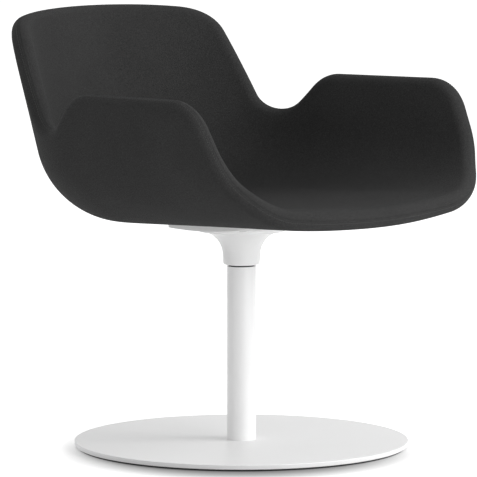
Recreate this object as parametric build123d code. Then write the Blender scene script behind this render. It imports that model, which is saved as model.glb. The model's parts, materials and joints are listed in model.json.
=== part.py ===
from build123d import *
from math import cos, radians, sin, sqrt, tan
import os

# Pedestal swivel armchair. Millimetres and degrees, +Z up, the chair faces -Y.
# The origin is on the floor, on the swivel axis.

os.makedirs("parts", exist_ok=True)

# ---------------------------------------------------------------- driving dimensions
# base plate and what holds the column on it
DISC_D = 575.0
DISC_T = 8.0
DISC_EDGE_R = 1.2
PAD_T = 3.0
PAD_INSET = 4.0
PAD_CHAMFER = 0.8
BASE_SCREW_D = 12.0
BASE_SCREW_HEAD_D = 24.0
BASE_SCREW_LENGTH = 34.0
BASE_SCREW_HEX = 8.0
BASE_SCREW_HEX_DEPTH = 3.6
DOWEL_D = 6.0
DOWEL_LENGTH = 20.0
DOWEL_PITCH_R = 15.0
DOWEL_DEPTH_IN_DISC = 5.0

# column
COLUMN_D = 50.0
COLUMN_WALL = 2.5
COLUMN_TOP_Z = 311.5
FOOT_LENGTH = 32.0
FOOT_CHAMFER = 2.0
HEAD_LENGTH = 80.0

# swivel bearing
SPINDLE_D = 25.0
RUNNING_GAP = 0.05
BUSH_WALL = 1.5
BUSH_LENGTH = 22.0
BUSH_FLANGE_D = 38.0
BUSH_FLANGE_T = 1.5
THRUST_D = 44.0
THRUST_T = 3.0
THRUST_BORE_GAP = 0.3
AXIAL_GAP = 0.1
SPINDLE_IN_HUB = 40.0
SPINDLE_TAIL = 8.0
KEEPER_WASHER_D = 38.0
KEEPER_WASHER_T = 2.0
CIRCLIP_T = 1.2
CIRCLIP_GROOVE_DEPTH = 0.6
CIRCLIP_D = 31.0
CIRCLIP_OPENING = 6.0
SPINDLE_SCREW_D = 10.0
SPINDLE_SCREW_LENGTH = 30.0
SPINDLE_SCREW_HEAD_D = 16.0
SPINDLE_SCREW_HEAD_T = 10.0
SPINDLE_SCREW_HEX = 8.0
SPINDLE_WASHER_D = 24.0
SPINDLE_WASHER_T = 2.0
HUB_WEB = 8.0
THREAD_GAP = 0.05
HOLE_GAP = 0.5

# cast hub
HUB_COLLAR_D = 63.0
HUB_COLLAR_EDGE_R = 3.0
HUB_NECK_Z = 330.0
HUB_NECK_D = 64.5
HUB_FLARE_R = 43.0
HUB_PLATE = 190.0
HUB_PLATE_CORNER_R = 20.0
HUB_PLATE_ROOT_T = 12.5
HUB_PLATE_EDGE_T = 4.5
HUB_WELL_D = 30.0

# screws between hub and shell
HUB_SCREW_PITCH = 136.0
HUB_SCREW_D = 8.0
HUB_SCREW_LENGTH = 25.0
HUB_SCREW_HEAD_D = 15.0
HUB_SCREW_HEAD_T = 4.4
HUB_SCREW_HEX = 5.0
HUB_WASHER_D = 18.0
HUB_WASHER_T = 1.2
SPOT_FACE_D = 22.0
SPOT_FACE_REST = 4.0
INSERT_D = 12.0
INSERT_LENGTH = 14.0
CORE_BOSS_D = 28.0

# upholstered bucket, measured to the middle of its thickness
SHELL_T = 34.0
COVER_T = 1.5
CORE_T = 8.0
CORE_DEPTH = 12.0
CORE_INSET = 12.0
SHELL_MID_Z = 405.0
SEAT_SLOPE = 2.4
SEAT_HALF_WIDTH = 277.6
BACK_Y = 293.7
CORNER_R = 228.0
BACK_R = 425.0
TOE_OUT = 3.3
WALL_LEAN = 7.9
BACK_LEAN = 13.3
FLOOR_R = 140.0
DISH_R = 1860.0
RIM_R = 16.0
RIM_STATION_Y = 60.0

# side view of the rim, as corner points (y, z) and the radius at each
RIM_FOOT = (-375.0, 349.0)
RIM_ARM_ROOT = (-254.4, 483.7)
RIM_ARM_FRONT = (-190.7, 609.4)
RIM_ARM_REAR = (81.1, 604.0)
RIM_DIP = (185.1, 492.8)
RIM_BACK = (308.3, 711.1)
RIM_REAR = (480.0, 740.5)
RIM_RADII = (118.6, 63.3, 57.6, 66.3, 72.0)

# plan view of the seat's front edge
FRONT_Y = -320.0
FRONT_SIDE_Y = -298.4
FRONT_SIDE_X = 240.0
FRONT_CORNER_R = 79.0

# ---------------------------------------------------------------- derived heights
disc_z = PAD_T
disc_top = disc_z + DISC_T
head_top = COLUMN_TOP_Z - BUSH_FLANGE_T
head_bottom = head_top - HEAD_LENGTH
thrust_top = COLUMN_TOP_Z + THRUST_T
hub_z = thrust_top + AXIAL_GAP
column_r = COLUMN_D / 2
column_bore_r = column_r - COLUMN_WALL
spindle_r = SPINDLE_D / 2
bush_bore_r = spindle_r + RUNNING_GAP
bush_r = bush_bore_r + BUSH_WALL
keeper_top = head_bottom - AXIAL_GAP
circlip_top = keeper_top - KEEPER_WASHER_T
spindle_bottom = circlip_top - CIRCLIP_T - SPINDLE_TAIL
spindle_top = hub_z + SPINDLE_IN_HUB
well_floor = spindle_top + HUB_WEB
middle = SHELL_T / 2
shell_bottom_z = SHELL_MID_Z - middle


# ---------------------------------------------------------------- small helpers
def rod(radius, z_low, z_high, x=0.0, y=0.0):
    """Upright cylinder between two heights."""
    return Pos(x, y, (z_low + z_high) / 2) * Cylinder(radius, z_high - z_low)


def ring(outer_r, inner_r, z_low, z_high, x=0.0, y=0.0):
    """Upright tube between two heights."""
    return rod(outer_r, z_low, z_high, x, y) - rod(inner_r, z_low, z_high, x, y)


def hex_socket(across_flats, z_low, z_high, x=0.0, y=0.0):
    """Six-sided hole for a key."""
    outline = Pos(x, y, z_low) * RegularPolygon(across_flats / 2, 6, major_radius=False)
    return extrude(outline, amount=z_high - z_low)


def on_circle(count, radius):
    """Points evenly spaced on a circle about the axis."""
    return [Vector(radius, 0).rotate(Axis.Z, 360.0 * i / count) for i in range(count)]


def shell_place(shape):
    """From the bucket's own frame, level on its middle surface, to the chair's."""
    return Pos(0, 0, SHELL_MID_Z) * (Rot(-SEAT_SLOPE, 0, 0) * shape)


def as_group(shapes):
    """Several separate solids kept together as one node."""
    return Compound(children=[s for shape in shapes for s in shape.solids()])


# ---------------------------------------------------------------- base
def base_disc():
    plate = rod(DISC_D / 2, disc_z, disc_top)
    plate = fillet(plate.edges(), DISC_EDGE_R)
    head_h = (BASE_SCREW_HEAD_D - BASE_SCREW_D) / 2
    sink = Pos(0, 0, disc_z + head_h / 2) * Cone(BASE_SCREW_HEAD_D / 2, BASE_SCREW_D / 2, head_h)
    plate -= sink
    plate -= rod(BASE_SCREW_D / 2 + HOLE_GAP, disc_z + head_h / 2, disc_top)
    for p in on_circle(2, DOWEL_PITCH_R):
        plate -= rod(DOWEL_D / 2, disc_top - DOWEL_DEPTH_IN_DISC, disc_top, p.X, p.Y)
    return plate


def base_pad():
    pad = rod(DISC_D / 2 - PAD_INSET, 0, PAD_T)
    return chamfer(pad.edges().sort_by(Axis.Z)[0], PAD_CHAMFER)


def base_screw():
    head_h = (BASE_SCREW_HEAD_D - BASE_SCREW_D) / 2
    head = Pos(0, 0, disc_z + head_h / 2) * Cone(BASE_SCREW_HEAD_D / 2, BASE_SCREW_D / 2, head_h)
    screw = head + rod(BASE_SCREW_D / 2, disc_z + head_h, disc_z + BASE_SCREW_LENGTH)
    return screw - hex_socket(BASE_SCREW_HEX, disc_z, disc_z + BASE_SCREW_HEX_DEPTH)


def base_dowels():
    low = disc_top - DOWEL_DEPTH_IN_DISC
    pins = [rod(DOWEL_D / 2, low, low + DOWEL_LENGTH, p.X, p.Y) for p in on_circle(2, DOWEL_PITCH_R)]
    return as_group(pins)


def column_tube():
    return ring(column_r, column_bore_r, disc_top, COLUMN_TOP_Z)


def column_foot():
    plug = rod(column_bore_r, disc_top, disc_top + FOOT_LENGTH)
    plug = chamfer(plug.edges().sort_by(Axis.Z)[-1], FOOT_CHAMFER)
    plug -= rod(BASE_SCREW_D / 2 + THREAD_GAP, disc_top, disc_top + FOOT_LENGTH)
    low = disc_top - DOWEL_DEPTH_IN_DISC
    for p in on_circle(2, DOWEL_PITCH_R):
        plug -= rod(DOWEL_D / 2, disc_top, low + DOWEL_LENGTH, p.X, p.Y)
    return plug


# ---------------------------------------------------------------- swivel bearing
def column_head():
    head = rod(column_bore_r, head_bottom, head_top)
    head -= rod(bush_bore_r + HOLE_GAP, head_bottom, head_top)
    head -= rod(bush_r, head_top - BUSH_LENGTH, head_top)
    head -= rod(bush_r, head_bottom, head_bottom + BUSH_LENGTH)
    return head


def upper_bush():
    sleeve = ring(bush_r, bush_bore_r, head_top - BUSH_LENGTH, head_top)
    return sleeve + ring(BUSH_FLANGE_D / 2, bush_bore_r, head_top, COLUMN_TOP_Z)


def lower_bush():
    return ring(bush_r, bush_bore_r, head_bottom, head_bottom + BUSH_LENGTH)


def thrust_washer():
    return ring(THRUST_D / 2, spindle_r + THRUST_BORE_GAP, COLUMN_TOP_Z, thrust_top)


def spindle():
    shaft = rod(spindle_r, spindle_bottom, spindle_top)
    shaft = chamfer(shaft.edges().group_by(Axis.Z)[0], 1.0)
    groove_r = spindle_r - CIRCLIP_GROOVE_DEPTH
    shaft -= ring(spindle_r + 1, groove_r, circlip_top - CIRCLIP_T, circlip_top)
    screw_tip = well_floor + SPINDLE_WASHER_T - SPINDLE_SCREW_LENGTH
    return shaft - rod(SPINDLE_SCREW_D / 2 + THREAD_GAP, screw_tip - 5, spindle_top)


def spindle_washer():
    return ring(KEEPER_WASHER_D / 2, spindle_r + RUNNING_GAP, circlip_top, keeper_top)


def spindle_circlip():
    clip = ring(CIRCLIP_D / 2, spindle_r - CIRCLIP_GROOVE_DEPTH, circlip_top - CIRCLIP_T, circlip_top)
    opening = Pos(0, CIRCLIP_D / 2, circlip_top - CIRCLIP_T / 2)
    return clip - opening * Box(CIRCLIP_OPENING, CIRCLIP_D, CIRCLIP_T)


def spindle_screw():
    low = well_floor + SPINDLE_WASHER_T
    screw = rod(SPINDLE_SCREW_D / 2, low - SPINDLE_SCREW_LENGTH, low)
    screw += rod(SPINDLE_SCREW_HEAD_D / 2, low, low + SPINDLE_SCREW_HEAD_T)
    high = low + SPINDLE_SCREW_HEAD_T
    return screw - hex_socket(SPINDLE_SCREW_HEX, high - SPINDLE_SCREW_HEAD_T / 2, high)


def spindle_screw_washer():
    bore_r = SPINDLE_SCREW_D / 2 + HOLE_GAP
    return ring(SPINDLE_WASHER_D / 2, bore_r, well_floor, well_floor + SPINDLE_WASHER_T)


# ---------------------------------------------------------------- bucket surfaces
def plan_outline(height, depth):
    """Plan of the bucket's walls at a height, at a depth below the outer face.

    Sides, corners and back keep their tangent points at every height: the plan
    only grows and slides rearward, so that the walls meet smoothly.
    """
    lean = tan(radians(WALL_LEAN))
    grow = (middle - depth) / cos(radians((WALL_LEAN + BACK_LEAN) / 2)) + lean * height
    slide = (tan(radians(BACK_LEAN)) - lean) * height
    half_w = SEAT_HALF_WIDTH + grow
    back_y = BACK_Y + grow
    corner_r = CORNER_R + grow
    back_r = BACK_R + grow
    toe = radians(TOE_OUT)
    along = Vector(-sin(toe), cos(toe))
    inward = Vector(-cos(toe), -sin(toe))
    station = Vector(half_w, RIM_STATION_Y)
    back_centre = Vector(0, back_y - back_r)
    # the corner circle touches the straight side and the back's circle
    gap = station + inward * corner_r - back_centre
    half_b = gap.dot(along)
    run = -half_b + sqrt(half_b**2 - gap.dot(gap) + (back_r - corner_r) ** 2)
    centre = station + along * run + inward * corner_r
    side_end = centre - inward * corner_r
    outward = (centre - back_centre).normalized()
    back_end = centre + outward * corner_r
    corner_mid = centre + (outward - inward).normalized() * corner_r
    front = station + along * ((FRONT_Y - SHELL_T * 3 - RIM_STATION_Y) / along.Y)
    top = Vector(0, back_y)

    def right(p):
        return Vector(p.X, p.Y + slide)

    def left(p):
        return Vector(-p.X, p.Y + slide)

    edges = [
        Line(right(front), right(side_end)),
        ThreePointArc(right(side_end), right(corner_mid), right(back_end)),
        ThreePointArc(right(back_end), right(top), left(back_end)),
        ThreePointArc(left(back_end), left(corner_mid), left(side_end)),
        Line(left(side_end), left(front)),
        Line(left(front), right(front)),
    ]
    return Plane.XY.offset(height) * make_face(Wire(edges))


def bucket_block(depth):
    """Everything inside the bucket's surface at a depth below the outer face."""
    below = -2.0 * SHELL_T
    above = RIM_BACK[1] - SHELL_MID_Z + 2.0 * SHELL_T
    walls = loft([plan_outline(below, depth), plan_outline(above, depth)], ruled=True)
    floor_h = depth - middle
    dish_r = DISH_R - floor_h
    reach = 2.0 * SEAT_HALF_WIDTH
    side_h = floor_h + dish_r - sqrt(dish_r**2 - reach**2)
    low = below - SHELL_T
    under = Wire([
        ThreePointArc((-reach, side_h), (0, floor_h), (reach, side_h)),
        Line((reach, side_h), (reach, low)),
        Line((reach, low), (-reach, low)),
        Line((-reach, low), (-reach, side_h)),
    ])
    block = walls - extrude(Plane.XZ * make_face(under), amount=1000, both=True)
    floor = block.faces().sort_by(Axis.Z)[0]
    edges = floor.edges()
    front_y = min(e.center().Y for e in edges)
    block = fillet([e for e in edges if e.center().Y > front_y + 1], FLOOR_R - floor_h)
    return shell_place(block)


def rim_block(grow):
    """The space behind the rim, grown past the middle of the rounded edge."""
    points = [RIM_FOOT, RIM_ARM_ROOT, RIM_ARM_FRONT, RIM_ARM_REAR, RIM_DIP, RIM_BACK, RIM_REAR]
    top = FilletPolyline(*points, radius=list(RIM_RADII))
    first = top @ 0
    last = top @ 1
    outline = Wire([
        *top.edges(),
        Line(last, (last.X, -200)),
        Line((last.X, -200), (first.X, -200)),
        Line((first.X, -200), first),
    ])
    side = offset(make_face(outline), amount=grow, kind=Kind.INTERSECTION)
    side = extrude(Plane.YZ * side, amount=2.0 * SEAT_HALF_WIDTH, both=True)
    # the seat's front edge is bowed in plan
    rise = FRONT_SIDE_Y - FRONT_Y
    bow_r = (FRONT_SIDE_X**2 + rise**2) / (2 * rise) + grow
    centre_y = FRONT_Y - grow + bow_r
    reach = SEAT_HALF_WIDTH + 2.0 * SHELL_T
    edge_y = centre_y - sqrt(bow_r**2 - reach**2)
    rear = RIM_REAR[0] + SHELL_T
    bow = Wire([
        ThreePointArc((-reach, edge_y), (0, FRONT_Y - grow), (reach, edge_y)),
        Line((reach, edge_y), (reach, rear)),
        Line((reach, rear), (-reach, rear)),
        Line((-reach, rear), (-reach, edge_y)),
    ])
    block = side & extrude(make_face(bow), amount=1000)
    corner = block.edges().filter_by(GeomType.ELLIPSE).sort_by(Axis.Y)[0]
    return fillet(corner, FRONT_CORNER_R)


def sharp_edges(solid):
    """Edges where two faces meet at more than a slight angle."""
    faces = solid.faces()
    found = []
    for edge in solid.edges():
        pair = [f for f in faces if any(edge.is_same(other) for other in f.edges())]
        if len(pair) != 2:
            continue
        at = edge.position_at(0.5)
        if pair[0].normal_at(at).get_angle(pair[1].normal_at(at)) > 20:
            found.append(edge)
    return found


def bucket_layer(outer_depth, inner_depth, inset, rim_r):
    """Bucket between two depths, cut back from the rim, with a rounded edge."""
    layer = (block_at(outer_depth) - block_at(inner_depth)) & rim_block(middle - inset)
    solid = layer.solids()[0]
    return solid.fillet(rim_r, sharp_edges(solid))


blocks = {}


def block_at(depth):
    """Bucket block at a depth, built once."""
    if depth not in blocks:
        blocks[depth] = bucket_block(depth)
    return blocks[depth]


# ---------------------------------------------------------------- screws into the shell
def at_screws(make):
    """One copy of a shape at each hub screw, in the bucket's own frame."""
    half = HUB_SCREW_PITCH / 2
    spots = [(x, y) for x in (-half, half) for y in (-half, half)]
    return [shell_place(make(x, y)) for x, y in spots]


def dish_rise(x):
    """How far the seat's underside rises towards a side."""
    return DISH_R + middle - sqrt((DISH_R + middle) ** 2 - x**2)


face_h = -middle
rest_h = face_h - SPOT_FACE_REST
washer_h = rest_h - HUB_WASHER_T
insert_low = face_h + COVER_T + dish_rise(HUB_SCREW_PITCH / 2 + INSERT_D / 2)
screw_tip_h = washer_h + HUB_SCREW_LENGTH


def hub_screws():
    def one(x, y):
        screw = rod(HUB_SCREW_D / 2, washer_h, screw_tip_h, x, y)
        head = rod(HUB_SCREW_HEAD_D / 2, washer_h - HUB_SCREW_HEAD_T, washer_h, x, y)
        head = fillet(head.edges().sort_by(Axis.Z)[0], HUB_SCREW_HEAD_T / 3)
        low = washer_h - HUB_SCREW_HEAD_T
        return screw + head - hex_socket(HUB_SCREW_HEX, low, low + HUB_SCREW_HEAD_T / 2, x, y)
    return as_group(at_screws(one))


def hub_screw_washers():
    bore_r = HUB_SCREW_D / 2 + HOLE_GAP
    return as_group(at_screws(lambda x, y: ring(HUB_WASHER_D / 2, bore_r, washer_h, rest_h, x, y)))


def shell_inserts():
    bore_r = HUB_SCREW_D / 2 + THREAD_GAP
    high = insert_low + INSERT_LENGTH
    return as_group(at_screws(lambda x, y: ring(INSERT_D / 2, bore_r, insert_low, high, x, y)))


# ---------------------------------------------------------------- hub
def hub():
    collar_r = HUB_COLLAR_D / 2
    neck_r = HUB_NECK_D / 2
    flare_top = HUB_NECK_Z + HUB_FLARE_R
    diagonal = HUB_FLARE_R * (1 - sin(radians(45)))
    top_z = shell_bottom_z + HUB_PLATE / 8
    profile = Wire([
        Line((0, hub_z), (collar_r - HUB_COLLAR_EDGE_R, hub_z)),
        RadiusArc((collar_r - HUB_COLLAR_EDGE_R, hub_z), (collar_r, hub_z + HUB_COLLAR_EDGE_R),
                  -HUB_COLLAR_EDGE_R),
        Line((collar_r, hub_z + HUB_COLLAR_EDGE_R), (neck_r, HUB_NECK_Z)),
        ThreePointArc((neck_r, HUB_NECK_Z),
                      (neck_r + diagonal, flare_top - diagonal),
                      (neck_r + HUB_FLARE_R, flare_top)),
        Line((neck_r + HUB_FLARE_R, flare_top), (neck_r + HUB_FLARE_R, top_z)),
        Line((neck_r + HUB_FLARE_R, top_z), (0, top_z)),
        Line((0, top_z), (0, hub_z)),
    ])
    casting = revolve(Plane.XZ * make_face(profile), Axis.Z)
    # the plate follows the slope of the shell and thins towards its corners
    root_r = neck_r + HUB_FLARE_R
    edge_r = HUB_PLATE / 2 * sqrt(2)
    section = Polyline(
        (0, face_h + HUB_PLATE_ROOT_T), (edge_r, face_h + HUB_PLATE_ROOT_T),
        (edge_r, face_h - HUB_PLATE_EDGE_T), (root_r, face_h - HUB_PLATE_ROOT_T),
        (0, face_h - HUB_PLATE_ROOT_T), close=True,
    )
    plate = revolve(Plane.XZ * make_face(section), Axis.Z)
    square = RectangleRounded(HUB_PLATE, HUB_PLATE, HUB_PLATE_CORNER_R)
    plate &= extrude(Plane.XY.offset(-100) * square, amount=200)
    half = HUB_SCREW_PITCH / 2
    for x in (-half, half):
        for y in (-half, half):
            plate -= rod(SPOT_FACE_D / 2, rest_h - 2 * SHELL_T, rest_h, x, y)
            plate -= rod(HUB_SCREW_D / 2 + HOLE_GAP, rest_h - SHELL_T, 0, x, y)
    casting += shell_place(plate)
    casting -= block_at(0)
    casting -= rod(spindle_r, hub_z, spindle_top)
    casting -= rod(SPINDLE_SCREW_D / 2 + HOLE_GAP, spindle_top, well_floor)
    casting -= rod(HUB_WELL_D / 2, well_floor, top_z)
    return casting


# ---------------------------------------------------------------- bucket pieces
def solid_core():
    """Moulded bucket with its bosses, before the holes for the inserts."""
    core = bucket_layer(CORE_DEPTH, CORE_DEPTH + CORE_T, CORE_INSET, CORE_T * 0.45)
    for boss in at_screws(lambda x, y: rod(CORE_BOSS_D / 2, face_h - SHELL_T, 0, x, y)):
        core += boss - outside_at(COVER_T) - block_at(CORE_DEPTH + CORE_T)
    return core


def shell_core(core):
    for hole in at_screws(lambda x, y: rod(INSERT_D / 2, face_h, insert_low + INSERT_LENGTH, x, y)):
        core -= hole
    tip_r = HUB_SCREW_D / 2 + HOLE_GAP
    for hole in at_screws(lambda x, y: rod(tip_r, insert_low, screw_tip_h + 1, x, y)):
        core -= hole
    return core


def outside_at(depth):
    """Everything under the seat that is outside the bucket at a depth."""
    reach = HUB_PLATE
    return Pos(0, 0, shell_bottom_z) * Box(reach, reach, 4 * SHELL_T) - block_at(depth)


def foam_body():
    return bucket_layer(COVER_T, SHELL_T - COVER_T, COVER_T, RIM_R - COVER_T)


def write(shape, name):
    export_step(shape, "parts/" + name + ".step")


moulding = solid_core()
core = shell_core(moulding)
skin = bucket_layer(0, SHELL_T, 0, RIM_R)
padding = foam_body()
foam = padding - moulding
screw_holes = at_screws(lambda x, y: rod(HUB_SCREW_D / 2 + HOLE_GAP, face_h - 5, face_h + 5, x, y))
outer_cover = skin - block_at(middle) - padding
for screw_hole in screw_holes:
    outer_cover -= screw_hole

write(base_disc(), "base_disc")
write(base_pad(), "base_pad")
write(base_screw(), "base_screw")
write(base_dowels(), "base_dowels")
write(column_tube(), "column_tube")
write(column_foot(), "column_foot")
write(column_head(), "column_head")
write(upper_bush(), "upper_bush")
write(lower_bush(), "lower_bush")
write(thrust_washer(), "thrust_washer")
write(spindle(), "spindle")
write(spindle_washer(), "spindle_washer")
write(spindle_circlip(), "spindle_circlip")
write(spindle_screw(), "spindle_screw")
write(spindle_screw_washer(), "spindle_screw_washer")
write(hub(), "hub")
write(hub_screws(), "hub_screws")
write(hub_screw_washers(), "hub_screw_washers")
write(shell_inserts(), "shell_inserts")
write(core, "shell_core")
write(foam & block_at(middle), "inner_foam")
write(foam - block_at(middle), "outer_foam")
write((skin & block_at(middle)) - padding, "inner_cover")
write(outer_cover, "outer_cover")
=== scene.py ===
import json
import math

import bpy
import numpy as np
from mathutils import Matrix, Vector
from mathutils.geometry import delaunay_2d_cdt


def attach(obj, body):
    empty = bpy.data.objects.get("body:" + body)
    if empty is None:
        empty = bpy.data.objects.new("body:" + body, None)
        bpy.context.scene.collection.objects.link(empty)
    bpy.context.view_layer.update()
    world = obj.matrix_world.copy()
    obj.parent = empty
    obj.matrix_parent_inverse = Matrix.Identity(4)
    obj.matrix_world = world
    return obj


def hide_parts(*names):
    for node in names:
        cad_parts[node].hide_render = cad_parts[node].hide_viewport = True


# Looks of the pedestal swivel armchair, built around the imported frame. The frame is in metres.
# The upholstery is worked out in millimetres, from the sizes that the solids have, and scaled
# to metres when its mesh is made.

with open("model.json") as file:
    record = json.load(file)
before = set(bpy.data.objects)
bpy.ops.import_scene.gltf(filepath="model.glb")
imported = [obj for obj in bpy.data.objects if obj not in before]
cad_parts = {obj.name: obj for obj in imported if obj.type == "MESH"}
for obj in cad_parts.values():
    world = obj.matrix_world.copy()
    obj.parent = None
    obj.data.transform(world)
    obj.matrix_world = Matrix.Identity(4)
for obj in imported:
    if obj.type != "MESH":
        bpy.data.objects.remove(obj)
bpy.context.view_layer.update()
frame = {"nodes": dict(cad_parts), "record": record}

MM = 0.001

# ---------------------------------------------------------------- sizes of the bucket
SHELL_T = 34.0
SHELL_MID_Z = 405.0
SEAT_SLOPE = math.radians(2.4)
SEAT_HALF_WIDTH = 277.6
BACK_Y = 293.7
CORNER_R = 228.0
BACK_R = 425.0
RIM_STATION_Y = 60.0
TOE_OUT = math.radians(3.3)
WALL_SLOPE = math.tan(math.radians(7.9))
BACK_EXTRA = math.tan(math.radians(13.3)) - WALL_SLOPE
FLOOR_R = 140.0
DISH_R = 1860.0

# rim in side view: y and z of its corner points, and the radii of the corners between its ends
RIM_POINTS = (
    (-375.0, 349.0), (-254.4, 483.7), (-190.7, 609.4), (81.1, 604.0),
    (185.1, 492.8), (308.3, 711.1), (480.0, 740.5),
)
RIM_RADII = (118.6, 63.3, 57.6, 66.3, 72.0)
# bow of the front edge in plan: its middle, and a place on its side
FRONT_Y = -320.0
FRONT_SIDE_Y = -298.4
FRONT_SIDE_X = 240.0
# round corner where these two trims meet, set to follow the solids' round corner there
FRONT_CORNER_R = 62.0
# limit on how alike the two trims may run, which keeps the corner's formula finite
MOST_ALIKE = 0.99

# unrolled plan: how far it is searched, the grid on which the rim is found, and the steps
# over which slopes are measured
PLAN_HALF_WIDTH = 640.0
PLAN_FRONT = -450.0
PLAN_BACK = 660.0
GRID_STEP = 6.0
RIM_PROBE = 0.2
NORMAL_PROBE = 0.5
# rounds of each search that closes in on its answer
CORNER_ROUNDS = 6
LOOP_ROUNDS = 4
RIM_ROUNDS = 3

# mesh: its steps, and the least gaps to the rim as shares of a step
SKIN_STEP = 6.0
RIM_STEP = 4.0
SKIN_INSIDE_RIM = 0.4
SKIN_FROM_RIM_POINTS = 0.45
BLOCK = 2000
ROUND_RINGS = 8

# sewing
SEAM_DEPTH = 0.4
SEAM_HALF_WIDTH = 1.3
SEAM_SHARPNESS = 0.6
SEAM_FAR = 30.0
STITCH_FROM_SEAM = 5.0
STITCH_CHANNEL = 0.2
STITCH_PITCH = 4.8
STITCH_LENGTH = 3.4
STITCH_R = 0.42
STITCH_RAISED = 0.35
STITCH_SIDES = 6
# along a stitch: place as a share of its length, height and thickness as shares of its radius
STITCH_PROFILE = (
    (-0.5, -0.6, 0.35), (-0.3, 0.1, 0.9), (0.0, 0.3, 1.0), (0.3, 0.1, 0.9), (0.5, -0.6, 0.35),
)

# ripple of the cloth: height, how long its two waves are along x, y and z, where each starts
# along y, how far the long one wanders, and how high the short one is beside it
SKIN_RIPPLE = 0.3
LONG_WAVE = (41, 53, 67)
SHORT_WAVE = (83, 37, 29)
LONG_WAVE_START = 0.7
SHORT_WAVE_START = 2.1
LONG_WAVE_WANDER = 1.3
SHORT_WAVE_SHARE = 0.6

half_t = SHELL_T / 2


# ---------------------------------------------------------------- plan of the seat
along_side = np.array([-math.sin(TOE_OUT), math.cos(TOE_OUT)])
off_side = np.array([math.cos(TOE_OUT), math.sin(TOE_OUT)])
station = np.array([SEAT_HALF_WIDTH, RIM_STATION_Y])
back_centre = np.array([0.0, BACK_Y - BACK_R])
gap = station - off_side * CORNER_R - back_centre
half_b = gap @ along_side
run = -half_b + math.sqrt(half_b**2 - gap @ gap + (BACK_R - CORNER_R) ** 2)
corner_centre = station - off_side * CORNER_R + along_side * run
to_corner = (corner_centre - back_centre) / np.linalg.norm(corner_centre - back_centre)


def seat_plan(x, y):
    """Distance outside the seat's outline, with the outline's normal and nearest point."""
    side = np.where(x < 0, -1.0, 1.0)
    px = np.abs(x)
    cx, cy = px - corner_centre[0], y - corner_centre[1]
    bx, by = px, y - back_centre[1]
    corner_d, back_d = np.hypot(cx, cy), np.hypot(bx, by)
    on_side = cx * along_side[0] + cy * along_side[1] < 0
    on_corner = to_corner[0] * cy - to_corner[1] * cx <= 0
    far = (px - station[0]) * off_side[0] + (y - station[1]) * off_side[1]
    out = np.select([on_side, on_corner], [far, corner_d - CORNER_R], back_d - BACK_R)
    nx = np.select([on_side, on_corner], [off_side[0], cx / corner_d], bx / back_d)
    ny = np.select([on_side, on_corner], [off_side[1], cy / corner_d], by / back_d)
    return out, side * nx, ny, side * (px - out * nx), y - out * ny


def middle_surface(flat):
    """The bucket's middle surface over its unrolled plan, in the chair's frame."""
    x, y = flat[:, 0], flat[:, 1]
    out, nx, ny, foot_x, foot_y = seat_plan(x, y)
    lean = WALL_SLOPE + BACK_EXTRA * ny
    wall_out, wall_up = lean / np.hypot(lean, 1), 1 / np.hypot(lean, 1)
    # where the round corner between floor and wall starts on the floor
    start = np.full_like(out, -FLOOR_R)
    for _ in range(CORNER_ROUNDS):
        start_x = foot_x + nx * start
        drop = np.sqrt(DISH_R**2 - start_x**2)
        rise = DISH_R - drop
        slope = start_x / drop * nx
        slant = np.hypot(1, slope)
        corner_out = lean * (rise - slope * start) / (1 - slope * lean)
        between = np.arccos(-(wall_out + wall_up * slope) / slant)
        start = corner_out - FLOOR_R / np.tan(between / 2) / slant
    lift = np.arctan(slope)
    turned = np.clip((out - start) / FLOOR_R, 0, np.pi - between)
    beyond = np.maximum(out - start - FLOOR_R * (np.pi - between), 0)
    reach = start + FLOOR_R * (np.sin(lift + turned) - slope / slant) + beyond * wall_out
    up = rise + FLOOR_R * (1 / slant - np.cos(lift + turned)) + beyond * wall_up
    slide = BACK_EXTRA * (up - rise) * nx
    floor = out < start
    px = np.where(floor, x, foot_x + nx * reach - ny * slide)
    py = np.where(floor, y, foot_y + ny * reach + nx * slide)
    pz = np.where(floor, DISH_R - np.sqrt(np.maximum(DISH_R**2 - x**2, 0)), up)
    c, s = math.cos(SEAT_SLOPE), math.sin(SEAT_SLOPE)
    return np.column_stack([px, py * c + pz * s, pz * c - py * s + SHELL_MID_Z])


def unit(v):
    """Vectors of length one."""
    return v / np.linalg.norm(v, axis=-1, keepdims=True)


def middle_normals(flat):
    """Unit normals of the middle surface, towards the sitter."""
    dx, dy = np.array([NORMAL_PROBE, 0.0]), np.array([0.0, NORMAL_PROBE])
    across = middle_surface(flat + dx) - middle_surface(flat - dx)
    deep = middle_surface(flat + dy) - middle_surface(flat - dy)
    return unit(np.cross(across, deep))


# ---------------------------------------------------------------- rim
def cross2(a, b):
    """Cross product of vectors in a plane."""
    return a[..., 0] * b[..., 1] - a[..., 1] * b[..., 0]


def rim_path():
    """Lines and arcs of the rim's side view: kind, start, end, the direction at both, and for an
    arc its centre, radius and turn."""
    points = [np.array(p, float) for p in RIM_POINTS]
    pieces = []
    last = points[0]
    for i, radius in enumerate(RIM_RADII, start=1):
        before, after = unit(points[i] - points[i - 1]), unit(points[i + 1] - points[i])
        turn = math.copysign(1.0, cross2(before, after))
        cut = radius * math.tan(math.acos(before @ after) / 2)
        a, b = points[i] - before * cut, points[i] + after * cut
        centre = a + turn * radius * np.array([-before[1], before[0]])
        pieces.append(("line", last, a, before, before, None, None, None))
        pieces.append(("arc", a, b, before, after, centre, radius, turn))
        last = b
    pieces.append(("line", last, points[-1], after, after, None, None, None))
    return pieces


rim_pieces = rim_path()


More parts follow.
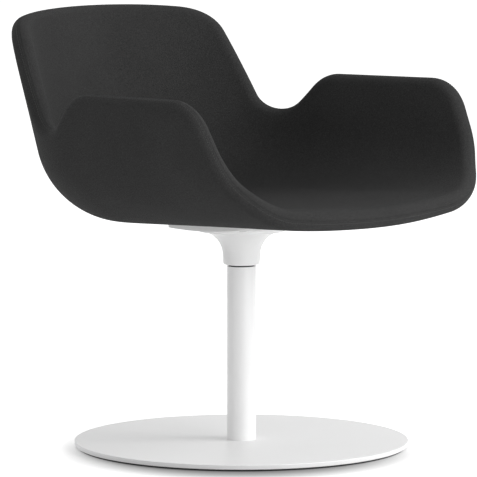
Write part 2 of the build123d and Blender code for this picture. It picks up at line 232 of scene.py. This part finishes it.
def side_view_distance(yz):
    """Signed distance above the rim in side view, and its gradient."""
    best = np.full(len(yz), np.inf)
    slope = np.zeros((len(yz), 2))
    for i, (kind, a, b, before, after, centre, radius, turn) in enumerate(rim_pieces):
        inside = np.ones(len(yz), bool)
        if i > 0:
            inside &= (yz - a) @ before >= 0
        if i < len(rim_pieces) - 1:
            inside &= (yz - b) @ after <= 0
        if kind == "line":
            value = cross2(before, yz - a)
            normal = np.broadcast_to([-before[1], before[0]], yz.shape)
        else:
            away = yz - centre
            value = -turn * (np.linalg.norm(away, axis=1) - radius)
            normal = -turn * unit(away)
        use = inside & (np.abs(value) < np.abs(best))
        best = np.where(use, value, best)
        slope = np.where(use[:, None], normal, slope)
    return best, slope


def beyond_rim(flat):
    """How far a point of the middle surface is past the rim: negative inside."""
    p = middle_surface(flat)
    side, side_n = side_view_distance(p[:, 1:])
    rise = FRONT_SIDE_Y - FRONT_Y
    bow_r = (FRONT_SIDE_X**2 + rise**2) / (2 * rise)
    away = p[:, :2] - np.array([0, FRONT_Y + bow_r])
    front_d = np.linalg.norm(away, axis=1)
    front, front_n = front_d - bow_r, away / front_d[:, None]
    # the two trims meet in a round corner
    alike = side_n[:, 0] * front_n[:, 1]
    a, b = side + FRONT_CORNER_R, front + FRONT_CORNER_R
    apart = np.maximum(a * a + b * b - 2 * alike * a * b, 0)
    rounded = np.sqrt(apart / (1 - np.minimum(alike**2, MOST_ALIKE)))
    in_corner = (a > alike * b) & (b > alike * a) & (p[:, 1] < 0) & (a > 0) & (b > 0)
    return np.where(in_corner, rounded - FRONT_CORNER_R, np.maximum(side, front))


def trace_rim():
    """The rim as one closed loop on the unrolled plan, evenly spaced along its real length."""
    columns = int(PLAN_HALF_WIDTH / GRID_STEP)
    xs = np.arange(-columns, columns + 1) * GRID_STEP
    ys = np.arange(int(PLAN_FRONT / GRID_STEP), int(PLAN_BACK / GRID_STEP) + 1) * GRID_STEP
    gx, gy = np.meshgrid(xs, ys, indexing="ij")
    value = beyond_rim(np.column_stack([gx.ravel(), gy.ravel()])).reshape(gx.shape)
    inside = value < 0

    def crossing(i, j, k, m):
        f = value[i, j] / (value[i, j] - value[k, m])
        return (gx[i, j] + f * (gx[k, m] - gx[i, j]), gy[i, j] + f * (gy[k, m] - gy[i, j]))

    spots, links = {}, {}
    for i, j in np.argwhere(inside[:-1, :-1] | inside[1:, :-1] | inside[:-1, 1:] | inside[1:, 1:]):
        near, right, back, far = (i, j), (i + 1, j), (i, j + 1), (i + 1, j + 1)
        sides = [(near, right), (right, far), (back, far), (near, back)]
        cut = [e for e in sides if inside[e[0]] != inside[e[1]]]
        if len(cut) != 2:
            continue
        for e in cut:
            spots[e] = crossing(*e[0], *e[1])
        links.setdefault(cut[0], []).append(cut[1])
        links.setdefault(cut[1], []).append(cut[0])
    first = max(spots, key=lambda e: spots[e][1])
    loop, before, at = [first], None, first
    while True:
        onward = [e for e in links[at] if e != before]
        before, at = at, onward[0]
        if at == first:
            break
        loop.append(at)
    flat = np.array([spots[e] for e in loop])
    for _ in range(LOOP_ROUNDS):
        flat = onto_rim(even_loop(flat, RIM_STEP))
    area = np.sum(cross2(flat, np.roll(flat, -1, axis=0)))
    return flat if area > 0 else flat[::-1]


def even_loop(flat, step):
    """The same loop with points evenly spaced in space."""
    p = middle_surface(flat)
    length = np.linalg.norm(np.roll(p, -1, axis=0) - p, axis=1)
    at = np.concatenate([[0], np.cumsum(length)])
    count = int(round(at[-1] / step))
    ring = np.vstack([flat, flat[:1]])
    want = np.arange(count) * at[-1] / count
    return np.column_stack([np.interp(want, at, ring[:, k]) for k in (0, 1)])


def onto_rim(flat):
    """Moves points of the plan onto the rim line."""
    probes = np.array([RIM_PROBE, 0.0]), np.array([0.0, RIM_PROBE])
    for _ in range(RIM_ROUNDS):
        value = beyond_rim(flat)
        change = [beyond_rim(flat + probe) - beyond_rim(flat - probe) for probe in probes]
        grad = np.column_stack(change) / (2 * RIM_PROBE)
        flat = flat - (value / np.sum(grad * grad, axis=1))[:, None] * grad
    return flat


# ---------------------------------------------------------------- upholstery mesh
def panel_points(rim):
    """Evenly staggered points of the plan inside the rim."""
    row = SKIN_STEP * math.sqrt(3) / 2
    count = int(PLAN_HALF_WIDTH / SKIN_STEP)
    points = []
    for j in range(int(PLAN_FRONT / row), int(PLAN_BACK / row)):
        shift = (j % 2) / 2
        points += [((i + shift) * SKIN_STEP, j * row) for i in range(-count - 1, count + 1)]
    points = np.array(points)
    points = points[np.abs(points[:, 0]) <= PLAN_HALF_WIDTH]
    points = points[beyond_rim(points) < -SKIN_INSIDE_RIM * SKIN_STEP]
    # a block of points at a time, because all distances at once would fill the memory
    keep = np.ones(len(points), bool)
    for start in range(0, len(points), BLOCK):
        block = points[start:start + BLOCK]
        near = np.min(np.sum((block[:, None] - rim[None]) ** 2, axis=2), axis=1)
        keep[start:start + BLOCK] = near > (SKIN_FROM_RIM_POINTS * SKIN_STEP) ** 2
    return points[keep]


def rim_section():
    """Angles round the rim from the sitting side to the outside, how far each is drawn in, and its
    distance from the seam."""
    # the rings lie close together at the seam and at the row of stitches
    fine = SEAM_HALF_WIDTH / half_t
    sewn = math.pi / 2 + STITCH_FROM_SEAM / half_t
    angles = list(np.linspace(0, math.pi / 2 - 3 * fine, ROUND_RINGS)[1:])
    angles += [math.pi / 2 + k * fine for k in (-2, -1, -0.4, 0, 0.4, 1, 2)]
    angles += [sewn + k * fine * 0.7 for k in (-0.8, 0, 0.8)]
    angles += list(np.linspace(sewn + 2 * fine, math.pi, ROUND_RINGS)[:-1])
    angles = np.array(angles)
    from_seam = (angles - math.pi / 2) * half_t
    from_row = (angles - sewn) * half_t
    inset = SEAM_DEPTH * np.exp(-((from_seam / (SEAM_SHARPNESS * SEAM_HALF_WIDTH)) ** 2))
    inset += STITCH_CHANNEL * np.exp(-((from_row / SEAM_HALF_WIDTH) ** 2))
    return angles, inset, from_seam


def ripple(p):
    """Slight unevenness of cloth pulled over foam."""
    x, y, z = p.T
    wide, deep, tall = LONG_WAVE
    wave = np.sin(x / wide + LONG_WAVE_WANDER * np.sin(z / tall)) * np.sin(y / deep + LONG_WAVE_START)
    wide, deep, tall = SHORT_WAVE
    short = SHORT_WAVE_SHARE * np.sin(z / tall + x / wide) * np.sin(y / deep + SHORT_WAVE_START)
    return SKIN_RIPPLE * (wave + short)


def rim_frame(rim):
    """Middle point, normal and outward direction at each point of the rim."""
    p, n = middle_surface(rim), middle_normals(rim)
    ahead = unit(np.roll(p, -1, axis=0) - np.roll(p, 1, axis=0))
    return p, n, unit(np.cross(ahead, n))


def panel_triangles(flat, n_rim):
    """Triangles that fill the rim's loop, the first n_rim points, with all the other points."""
    edges = [(i, (i + 1) % n_rim) for i in range(n_rim)]
    inside_only, same_point = 1, 1e-7
    found = delaunay_2d_cdt([Vector(p) for p in flat], edges, [], inside_only, same_point)
    new_faces, first_points = found[2], found[3]
    source = [points[0] for points in first_points]
    return [tuple(source[i] for i in face) for face in new_faces]


def make_upholstery(rim):
    """Both covers as one closed skin round the shell, with the seam and the row drawn in."""
    flat = np.vstack([rim, panel_points(rim)])
    n_rim = len(rim)
    triangles = panel_triangles(flat, n_rim)
    middle, normal = middle_surface(flat), middle_normals(flat)
    swell = ripple(middle)[:, None]
    sitting = middle + normal * (half_t + swell)
    outside = middle - normal * (half_t + swell)
    verts = [sitting, outside]
    count = len(flat)
    p, n, out = rim_frame(rim)
    angles, inset, from_seam = rim_section()
    seam_mm = [np.full(2 * count, SEAM_FAR)]
    for angle, drawn, off in zip(angles, inset, from_seam):
        fade = swell[:n_rim] * abs(math.cos(angle))
        verts.append(p + (half_t - drawn + fade) * (math.cos(angle) * n + math.sin(angle) * out))
        seam_mm.append(np.full(n_rim, abs(off)))
    faces = triangles + [tuple(count + i for i in reversed(t)) for t in triangles]
    rings = [0] + [2 * count + k * n_rim for k in range(len(angles))] + [count]
    for a, b in zip(rings, rings[1:]):
        faces += [(a + i, b + i, b + (i + 1) % n_rim, a + (i + 1) % n_rim) for i in range(n_rim)]
    obj = make_mesh("bucket_upholstery", np.vstack(verts), faces)
    seam = obj.data.attributes.new("seam_mm", "FLOAT", "POINT")
    seam.data.foreach_set("value", np.concatenate(seam_mm).astype(np.float32))
    return obj


def make_mesh(name, verts_mm, faces):
    """A smooth-shaded object from points in millimetres."""
    mesh = bpy.data.meshes.new(name)
    mesh.from_pydata((np.asarray(verts_mm) * MM).tolist(), [], faces)
    mesh.shade_smooth()
    mesh.update()
    obj = bpy.data.objects.new(name, mesh)
    bpy.context.scene.collection.objects.link(obj)
    return obj


def make_stitches(rim):
    """One row of short thread lengths along the rim, on the outer side of the seam."""
    p, n, out = rim_frame(rim)
    angle = math.pi / 2 + STITCH_FROM_SEAM / half_t
    up = math.cos(angle) * n + math.sin(angle) * out
    row = p + (half_t - STITCH_CHANNEL + STITCH_RAISED * STITCH_R) * up
    length = np.linalg.norm(np.roll(row, -1, axis=0) - row, axis=1)
    at = np.concatenate([[0], np.cumsum(length)])
    count = int(at[-1] / STITCH_PITCH)
    pitch = at[-1] / count

    def along(values, want):
        ring = np.vstack([values, values[:1]])
        return np.array([np.interp(want % at[-1], at, ring[:, k]) for k in range(3)])

    sides = STITCH_SIDES
    last_ring = (len(STITCH_PROFILE) - 1) * sides
    verts, faces = [], []
    for s in range(count):
        first = len(verts)
        for place, lift, width in STITCH_PROFILE:
            want = s * pitch + place * STITCH_LENGTH
            centre, high = along(row, want), along(up, want)
            ahead = along(row, want + 0.5) - along(row, want - 0.5)
            across = np.cross(ahead, high)
            high, across = high / np.linalg.norm(high), across / np.linalg.norm(across)
            for k in range(sides):
                turn = 2 * math.pi * k / sides
                ray = math.cos(turn) * high + math.sin(turn) * across
                verts.append(centre + high * lift * STITCH_R + ray * STITCH_R * width)
        for a in range(first, first + last_ring, sides):
            b = a + sides
            faces += [(a + k, a + (k + 1) % sides, b + (k + 1) % sides, b + k) for k in range(sides)]
        faces.append(tuple(first + k for k in reversed(range(sides))))
        faces.append(tuple(first + last_ring + k for k in range(sides)))
    return make_mesh("rim_stitches", verts, faces)


# ---------------------------------------------------------------- materials
def grey(value):
    return (value, value, value)


# noise scales count per metre, bump depths are in metres
WEAVE_PITCH = 0.0017
WEAVE_SHARE = 0.10
CLOUD_SHARE = 0.15
FLECK_SCALE = 620
WOOL_CLOUD_SCALE = 9
FIBRE_SCALE = 2600
FIBRE_DEPTH = 0.0004
WEAVE_DEPTH = 0.0003
WOOL_DARK = grey(0.018)
WOOL_MIDDLE = grey(0.0317)
WOOL_LIGHT = grey(0.0528)
# painted shade of the seam's groove: the cloth's colour is darker within so many millimetres of the seam,
# and by this share
SEAM_SHADE_WIDTH = 1.5
SEAM_SHADE = 0.2

STRAND_SCALE = 3000
STRAND_DEPTH = 0.0002
THREAD_DARK = grey(0.02)
THREAD_LIGHT = grey(0.04)

PAINT_CLOUD_SCALE = 5
PEEL_SCALE = 900
PEEL_DEPTH = 0.00006
PAINT_DARK = grey(0.80)
PAINT_LIGHT = grey(0.83)
PAINT_SMOOTH = grey(0.36)
PAINT_ROUGH = grey(0.44)

ROUGHNESS_SPREAD = 0.08
# slot: name, dark and light colour, roughness, metallic, grain and its depth
PLAIN_FINISHES = {
    "steel": ("machined_steel", grey(0.45), grey(0.62), 0.32, 1.0, 700.0, 0.00003),
    "brass": ("brass", (0.52, 0.38, 0.16), (0.66, 0.5, 0.24), 0.3, 1.0, 700.0, 0.00003),
    "pad_plastic": ("black_plastic", grey(0.012), grey(0.022), 0.55, 0.0, 400.0, 0.0001),
    "bush_plastic": ("bush_plastic", grey(0.03), grey(0.05), 0.45, 0.0, 400.0, 0.0001),
    "core_plastic": ("moulded_core", grey(0.05), grey(0.07), 0.6, 0.0, 400.0, 0.0001),
    "foam": ("foam", (0.6, 0.56, 0.42), (0.72, 0.68, 0.54), 0.9, 0.0, 900.0, 0.0004),
}


def new_material(name):
    material = bpy.data.materials.new(name)
    material.use_nodes = True
    nodes, links = material.node_tree.nodes, material.node_tree.links
    return material, nodes, links, nodes["Principled BSDF"]


def math_node(nodes, links, operation, a, b=None):
    node = nodes.new("ShaderNodeMath")
    node.operation = operation
    for socket, value in zip(node.inputs, (a, b)):
        if value is None:
            continue
        if isinstance(value, (int, float)):
            socket.default_value = value
        else:
            links.new(value, socket)
    return node.outputs[0]


def noise(nodes, links, coords, scale, detail=2.0, roughness=0.5):
    node = nodes.new("ShaderNodeTexNoise")
    node.inputs["Scale"].default_value = scale
    node.inputs["Detail"].default_value = detail
    node.inputs["Roughness"].default_value = roughness
    links.new(coords, node.inputs["Vector"])
    return node.outputs["Fac"]


def ramp(nodes, links, factor, *stops):
    """Colours along a factor, from stops of place and colour."""
    node = nodes.new("ShaderNodeValToRGB")
    elements = node.color_ramp.elements
    while len(elements) < len(stops):
        elements.new(0.5)
    for element, (place, colour) in zip(elements, stops):
        element.position = place
        element.color = (*colour, 1.0)
    links.new(factor, node.inputs[0])
    return node.outputs[0]


def bump(nodes, links, height, depth, strength, below=None):
    """Normal of a surface with small heights, over another bump where one is given."""
    node = nodes.new("ShaderNodeBump")
    node.inputs["Distance"].default_value = depth
    node.inputs["Strength"].default_value = strength
    links.new(height, node.inputs["Height"])
    if below is not None:
        links.new(below, node.inputs["Normal"])
    return node.outputs[0]


def plain_weave(nodes, links, coords):
    """Crossing yarns on all sides of a solid: the weave of each axis counts where it faces that way."""
    place, facing = nodes.new("ShaderNodeSeparateXYZ"), nodes.new("ShaderNodeSeparateXYZ")
    links.new(coords.outputs["Object"], place.inputs[0])
    links.new(coords.outputs["Normal"], facing.inputs[0])
    waves, weights = [], []
    for k in range(3):
        turned = math_node(nodes, links, "MULTIPLY", place.outputs[k], 2 * math.pi / WEAVE_PITCH)
        waves.append(math_node(nodes, links, "SINE", turned))
        size = math_node(nodes, links, "ABSOLUTE", facing.outputs[k])
        weights.append(math_node(nodes, links, "POWER", size, 4.0))
    total = math_node(nodes, links, "ADD", weights[0], weights[1])
    total = math_node(nodes, links, "ADD", total, weights[2])
    woven = None
    for k in range(3):
        crossed = math_node(nodes, links, "MULTIPLY", waves[(k + 1) % 3], waves[(k + 2) % 3])
        part = math_node(nodes, links, "MULTIPLY", crossed, weights[k])
        woven = part if woven is None else math_node(nodes, links, "ADD", woven, part)
    return math_node(nodes, links, "DIVIDE", woven, total)


def painted_seam_shade(nodes, links):
    """Painted shade of the seam's groove: one on the open cloth, less within a seam's width of the seam."""
    seam = nodes.new("ShaderNodeAttribute")
    seam.attribute_name = "seam_mm"
    shade = math_node(nodes, links, "DIVIDE", seam.outputs["Fac"], SEAM_SHADE_WIDTH)
    shade = math_node(nodes, links, "MINIMUM", shade, 1.0)
    shade = math_node(nodes, links, "MULTIPLY", shade, SEAM_SHADE)
    return math_node(nodes, links, "ADD", shade, 1.0 - SEAM_SHADE)


def wool_material():
    """Charcoal plain-woven wool: crossing yarns, flecked yarn colour and a little loose fibre."""
    material, nodes, links, shader = new_material("charcoal_wool")
    coords = nodes.new("ShaderNodeTexCoord")
    woven = plain_weave(nodes, links, coords)
    fleck = noise(nodes, links, coords.outputs["Object"], FLECK_SCALE, 3.0, 0.6)
    cloud = noise(nodes, links, coords.outputs["Object"], WOOL_CLOUD_SCALE)
    fibre = noise(nodes, links, coords.outputs["Object"], FIBRE_SCALE, roughness=0.7)
    tone = math_node(nodes, links, "MULTIPLY", woven, WEAVE_SHARE)
    tone = math_node(nodes, links, "ADD", tone, fleck)
    cloudy = math_node(nodes, links, "MULTIPLY", cloud, CLOUD_SHARE)
    tone = math_node(nodes, links, "ADD", tone, cloudy)
    tone = math_node(nodes, links, "SUBTRACT", tone, CLOUD_SHARE / 2)
    # painted shade: the cloth's colour darkens in the seam's groove
    tone = math_node(nodes, links, "MULTIPLY", tone, painted_seam_shade(nodes, links))
    colour = ramp(nodes, links, tone, (0.25, WOOL_DARK), (0.5, WOOL_MIDDLE), (0.78, WOOL_LIGHT))
    links.new(colour, shader.inputs["Base Color"])
    shader.inputs["Roughness"].default_value = 0.95
    shader.inputs["Specular IOR Level"].default_value = 0.1
    shader.inputs["Sheen Weight"].default_value = 0.02
    shader.inputs["Sheen Roughness"].default_value = 0.45
    shader.inputs["Sheen Tint"].default_value = (*grey(0.8), 1.0)
    rough = bump(nodes, links, fibre, FIBRE_DEPTH, 0.5)
    normal = bump(nodes, links, woven, WEAVE_DEPTH, 0.8, rough)
    links.new(normal, shader.inputs["Normal"])
    return material


def thread_material():
    """Charcoal sewing thread."""
    material, nodes, links, shader = new_material("charcoal_thread")
    coords = nodes.new("ShaderNodeTexCoord")
    strand = noise(nodes, links, coords.outputs["Object"], STRAND_SCALE)
    colour = ramp(nodes, links, strand, (0.3, THREAD_DARK), (0.7, THREAD_LIGHT))
    links.new(colour, shader.inputs["Base Color"])
    shader.inputs["Roughness"].default_value = 0.7
    links.new(bump(nodes, links, strand, STRAND_DEPTH, 0.6), shader.inputs["Normal"])
    return material


def paint_material():
    """Satin white powder coat with a fine orange peel."""
    material, nodes, links, shader = new_material("white_powder_coat")
    coords = nodes.new("ShaderNodeTexCoord")
    cloud = noise(nodes, links, coords.outputs["Object"], PAINT_CLOUD_SCALE)
    peel = noise(nodes, links, coords.outputs["Object"], PEEL_SCALE)
    colour = ramp(nodes, links, cloud, (0.3, PAINT_DARK), (0.7, PAINT_LIGHT))
    links.new(colour, shader.inputs["Base Color"])
    roughness = ramp(nodes, links, cloud, (0.3, PAINT_SMOOTH), (0.7, PAINT_ROUGH))
    links.new(roughness, shader.inputs["Roughness"])
    shader.inputs["Specular IOR Level"].default_value = 0.5
    links.new(bump(nodes, links, peel, PEEL_DEPTH, 0.5), shader.inputs["Normal"])
    return material


def plain_material(name, dark, light, roughness, metallic, grain, depth):
    """Plastic, foam or machined metal with a grain of its own."""
    material, nodes, links, shader = new_material(name)
    coords = nodes.new("ShaderNodeTexCoord")
    grains = noise(nodes, links, coords.outputs["Object"], grain, 4.0, 0.6)
    links.new(ramp(nodes, links, grains, (0.3, dark), (0.7, light)), shader.inputs["Base Color"])
    smooth, rough = grey(roughness - ROUGHNESS_SPREAD), grey(roughness + ROUGHNESS_SPREAD)
    links.new(ramp(nodes, links, grains, (0.2, smooth), (0.8, rough)), shader.inputs["Roughness"])
    shader.inputs["Metallic"].default_value = metallic
    links.new(bump(nodes, links, grains, depth, 0.5), shader.inputs["Normal"])
    return material


def dress_nodes():
    """Gives every solid the finish of its slot, and returns the finishes."""
    finishes = {slot: plain_material(*look) for slot, look in PLAIN_FINISHES.items()}
    finishes["white_paint"] = paint_material()
    finishes["wool"] = wool_material()
    for row in frame["record"]["subparts"]:
        obj = frame["nodes"][row["node"]]
        finish = finishes[row["material_slot"]]
        if not obj.material_slots:
            obj.data.materials.append(finish)
        for place in obj.material_slots:
            place.material = finish
    return finishes


# ---------------------------------------------------------------- stage
CAMERA_AT = Vector((-6.0143, -5.8008, 1.3034))
CAMERA_HEADING = math.radians(46.0)
CAMERA_DOWN = math.radians(6.451)
CAMERA_LENS = 369.8
CAMERA_SENSOR = 36.0
CAMERA_REACH = 200.0

FLOOR_SIZE = 80.0
# the floor lies a little under the part, so that the two faces don't fall together
FLOOR_DROP = 0.0003
FLOOR_BOOST = 0.5
FLOOR_COLOUR = 0.93
# painted shadow on the floor round the disc, darkest under it and shifted to one side: it is painted into
# the floor's colour and glow, not cast by the lamps
FLOOR_PAINTED_SHADOW_AT = (-0.058, -0.056, 0.0)
FLOOR_PAINTED_SHADOW_INNER = 0.20
FLOOR_PAINTED_SHADOW_OUTER = 0.345
FLOOR_PAINTED_SHADOW_LEVEL = 0.2
SKY_LEVEL = 0.66

LAMP_AIM = Vector((0.0, 0.0, 0.4))
# name, place right of the object as the camera sees it, nearer and up, width, and watts
LAMPS = (
    ("key", (4.0, 0.5, 2.8), 2.6, 128.0),
    ("front_fill", (2.9, 3.2, 0.9), 2.4, 70.0),
    ("rear_fill", (-3.6, -2.2, 2.0), 2.4, 20.0),
)


def aim_along(obj, direction):
    """Turns a camera or lamp so that it looks along a direction, upright."""
    obj.rotation_euler = direction.to_track_quat("-Z", "Y").to_euler()


def make_camera():
    data = bpy.data.cameras.new("camera")
    data.lens = CAMERA_LENS
    data.sensor_width = CAMERA_SENSOR
    data.clip_end = CAMERA_REACH
    camera = bpy.data.objects.new("camera", data)
    camera.location = CAMERA_AT
    aim_along(camera, Vector((
        math.sin(CAMERA_HEADING) * math.cos(CAMERA_DOWN),
        math.cos(CAMERA_HEADING) * math.cos(CAMERA_DOWN),
        -math.sin(CAMERA_DOWN),
    )))
    bpy.context.scene.collection.objects.link(camera)
    bpy.context.scene.camera = camera


def from_camera(right, near, up):
    """A place to the right of the object as the camera sees it, nearer the camera, and up."""
    c, s = math.cos(CAMERA_HEADING), math.sin(CAMERA_HEADING)
    return Vector((right * c - near * s, -right * s - near * c, up))


def make_lamp(name, place, size, power):
    data = bpy.data.lights.new(name, "AREA")
    data.shape = "SQUARE"
    data.size = size
    data.energy = power
    lamp = bpy.data.objects.new(name, data)
    lamp.location = place
    aim_along(lamp, LAMP_AIM - place)
    bpy.context.scene.collection.objects.link(lamp)


def background_rays(nodes, links):
    """1 on the rays that show the background: what the camera, gloss and glass see."""
    path = nodes.new("ShaderNodeLightPath")
    shown = math_node(nodes, links, "MAXIMUM", path.outputs["Is Camera Ray"], path.outputs["Is Glossy Ray"])
    return math_node(nodes, links, "MAXIMUM", shown, path.outputs["Is Transmission Ray"])


def floor_material():
    """White studio floor that glows a little where it shows, with a painted soft shadow round the disc."""
    material = bpy.data.materials.new("studio_white")
    material.use_nodes = True
    nodes, links = material.node_tree.nodes, material.node_tree.links
    nodes.clear()
    out = nodes.new("ShaderNodeOutputMaterial")
    both = nodes.new("ShaderNodeAddShader")
    matt = nodes.new("ShaderNodeBsdfDiffuse")
    glow = nodes.new("ShaderNodeEmission")
    coords = nodes.new("ShaderNodeTexCoord")
    away = nodes.new("ShaderNodeVectorMath")
    away.operation = "DISTANCE"
    away.inputs[1].default_value = FLOOR_PAINTED_SHADOW_AT
    links.new(coords.outputs["Object"], away.inputs[0])
    # painted shadow: the floor's colour and its glow are darker near the disc
    shade = nodes.new("ShaderNodeMapRange")
    shade.interpolation_type = "SMOOTHSTEP"
    shade.inputs["From Min"].default_value = FLOOR_PAINTED_SHADOW_INNER
    shade.inputs["From Max"].default_value = FLOOR_PAINTED_SHADOW_OUTER
    shade.inputs["To Min"].default_value = FLOOR_PAINTED_SHADOW_LEVEL
    links.new(away.outputs["Value"], shade.inputs["Value"])
    tone = math_node(nodes, links, "MULTIPLY", shade.outputs[0], FLOOR_COLOUR)
    links.new(tone, matt.inputs["Color"])
    boost = math_node(nodes, links, "MULTIPLY", shade.outputs[0], FLOOR_BOOST)
    seen = math_node(nodes, links, "MULTIPLY", background_rays(nodes, links), boost)
    links.new(seen, glow.inputs["Strength"])
    links.new(matt.outputs[0], both.inputs[0])
    links.new(glow.outputs[0], both.inputs[1])
    links.new(both.outputs[0], out.inputs["Surface"])
    return material


def make_floor():
    half = FLOOR_SIZE / 2
    corners = [(-half, -half, 0), (half, -half, 0), (half, half, 0), (-half, half, 0)]
    mesh = bpy.data.meshes.new("studio_floor")
    mesh.from_pydata(corners, [], [(0, 1, 2, 3)])
    mesh.materials.append(floor_material())
    floor = bpy.data.objects.new("studio_floor", mesh)
    floor.location.z = -FLOOR_DROP
    bpy.context.scene.collection.objects.link(floor)


def make_world():
    """White where it shows, and a plain even light on the object."""
    world = bpy.data.worlds.new("studio")
    bpy.context.scene.world = world
    world.use_nodes = True
    nodes, links = world.node_tree.nodes, world.node_tree.links
    background = nodes["Background"]
    background.inputs["Color"].default_value = (1, 1, 1, 1)
    level = math_node(nodes, links, "MULTIPLY", background_rays(nodes, links), 1.0 - SKY_LEVEL)
    level = math_node(nodes, links, "ADD", level, SKY_LEVEL)
    links.new(level, background.inputs["Strength"])


# ---------------------------------------------------------------- put together
finishes = dress_nodes()
rim_loop = trace_rim()
upholstery = make_upholstery(rim_loop)
upholstery.data.materials.append(finishes["wool"])
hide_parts("inner_cover", "outer_cover", "inner_foam", "outer_foam")
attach(upholstery, "seat")

stitches = make_stitches(rim_loop)
stitches.data.materials.append(thread_material())
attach(stitches, "seat")

bpy.context.scene.view_settings.view_transform = "Standard"
make_camera()
make_floor()
make_world()
for lamp_name, place, size, power in LAMPS:
    make_lamp(lamp_name, from_camera(*place), size, power)
